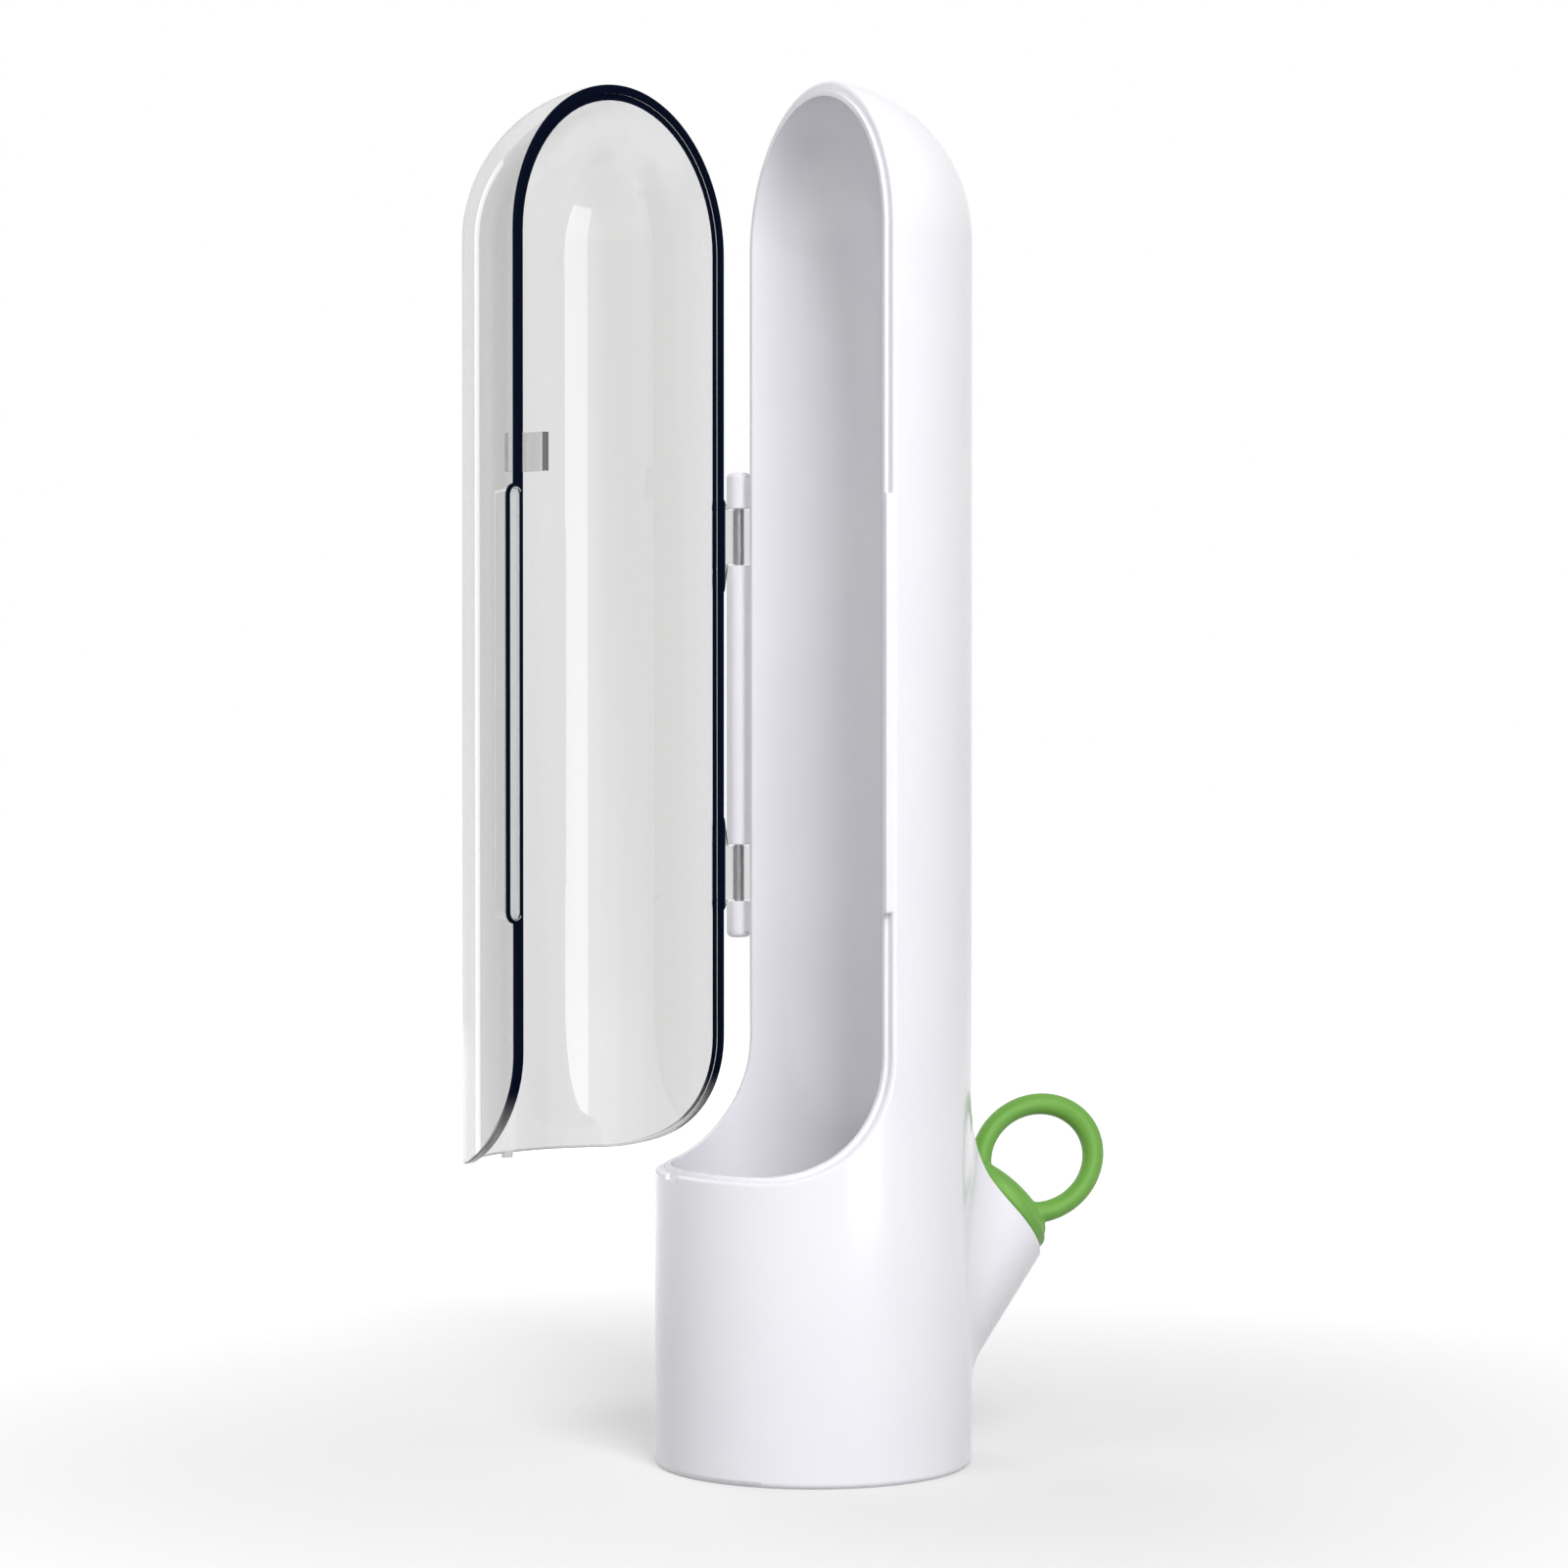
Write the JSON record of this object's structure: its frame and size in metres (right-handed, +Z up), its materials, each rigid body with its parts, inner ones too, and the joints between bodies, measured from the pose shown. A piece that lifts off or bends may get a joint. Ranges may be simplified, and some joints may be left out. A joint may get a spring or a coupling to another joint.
{
  "type": "herb keeper",
  "caption": "Slim upright capsule that keeps herbs or asparagus in water, with a clear side-hinged door and a plugged filling spout.",
  "frame": {"origin": "centre of the flat underside, on the pod's axis", "axes": "+Z up, the door side faces -Y, the spout faces +Y, and the hinge is on the -X side"},
  "size_m": [0.0858, 0.1264, 0.2765],
  "materials": {
    "white_plastic": "glossy white moulded plastic",
    "clear_plastic": "clear polished plastic",
    "pin_steel": "plain steel",
    "green_silicone": "satin green silicone"
  },
  "bodies": {
    "pod": {"pod_shell": "white_plastic", "base_plate": "white_plastic", "hinge_pin_upper": "pin_steel", "hinge_pin_lower": "pin_steel"},
    "door": {"clear_door": "clear_plastic"},
    "plug": {"spout_plug": "green_silicone"}
  },
  "joints": [
    {"name": "door_hinge", "type": "hinge", "parent": "pod", "child": "door", "pos_m": [-0.0361, 0.001, 0.152], "axis": [0, 0, 1], "range_deg": [-84, 66]},
    {"name": "plug_pull", "type": "slide", "parent": "pod", "child": "plug", "axis": [0, 0.7513, 0.66], "range_m": [0, 0.035]}
  ]
}
